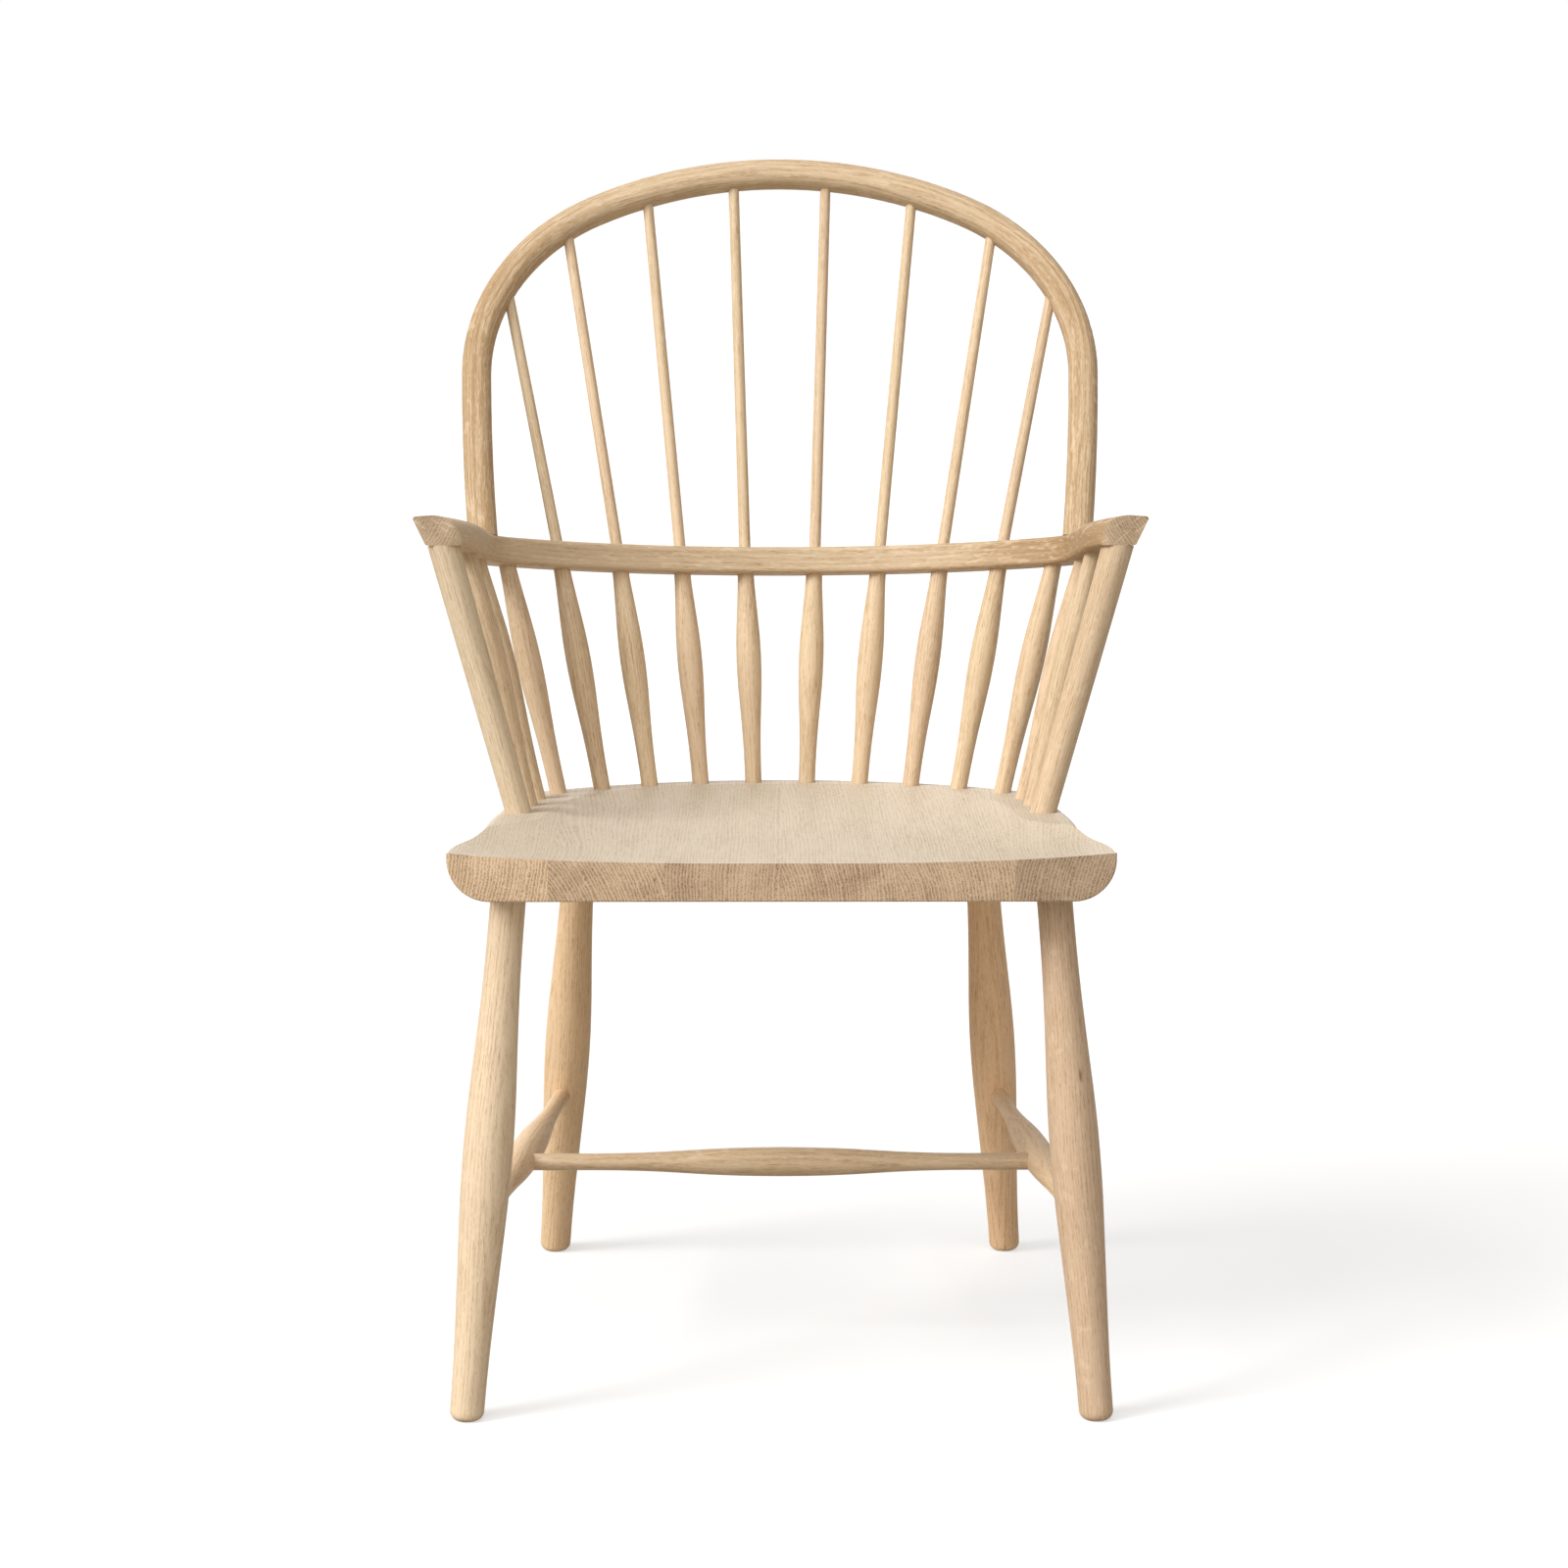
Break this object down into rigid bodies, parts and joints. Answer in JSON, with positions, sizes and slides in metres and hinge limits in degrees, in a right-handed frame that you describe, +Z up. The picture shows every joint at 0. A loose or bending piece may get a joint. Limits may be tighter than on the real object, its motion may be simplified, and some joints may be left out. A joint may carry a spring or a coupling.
{
  "type": "windsor armchair",
  "caption": "Bow-back windsor armchair in pale oak, with a dished solid seat, splayed turned legs, stretchers, turned spindles, a bent arm rail and a bent bow back.",
  "frame": {"origin": "on the floor, under the middle of the chair's bounding box", "axes": "+X to the sitter's left, -Y the way the chair faces, +Z up"},
  "size_m": [0.5946, 0.5736, 0.9756],
  "materials": {
    "oak_seat": "bare oak, sanded, grain running front to back, end grain on the front face",
    "oak_turned": "bare turned oak, sanded smooth, matt",
    "oak_spindle": "bare turned oak, sanded smooth, matt",
    "oak_bent": "bare bent oak, sanded smooth, grain along the bend, matt"
  },
  "bodies": {
    "root": {"seat_stave_1": "oak_seat", "seat_stave_2": "oak_seat", "seat_stave_3": "oak_seat", "seat_stave_4": "oak_seat", "seat_stave_5": "oak_seat", "seat_stave_6": "oak_seat", "leg_front_left": "oak_turned", "leg_front_right": "oak_turned", "leg_back_left": "oak_turned", "leg_back_right": "oak_turned", "side_stretcher_left": "oak_turned", "side_stretcher_right": "oak_turned", "cross_stretcher": "oak_turned", "arm_post_left": "oak_turned", "arm_post_right": "oak_turned", "short_spindle_left_1": "oak_spindle", "short_spindle_left_2": "oak_spindle", "short_spindle_left_3": "oak_spindle", "short_spindle_left_4": "oak_spindle", "short_spindle_left_5": "oak_spindle", "short_spindle_left_6": "oak_spindle", "short_spindle_left_7": "oak_spindle", "short_spindle_right_1": "oak_spindle", "short_spindle_right_2": "oak_spindle", "short_spindle_right_3": "oak_spindle", "short_spindle_right_4": "oak_spindle", "short_spindle_right_5": "oak_spindle", "short_spindle_right_6": "oak_spindle", "short_spindle_right_7": "oak_spindle", "back_stick_left_1": "oak_spindle", "back_stick_left_2": "oak_spindle", "back_stick_left_3": "oak_spindle", "back_stick_left_4": "oak_spindle", "back_stick_right_1": "oak_spindle", "back_stick_right_2": "oak_spindle", "back_stick_right_3": "oak_spindle", "back_stick_right_4": "oak_spindle", "arm_rail": "oak_bent", "bow": "oak_bent"}
  },
  "joints": []
}
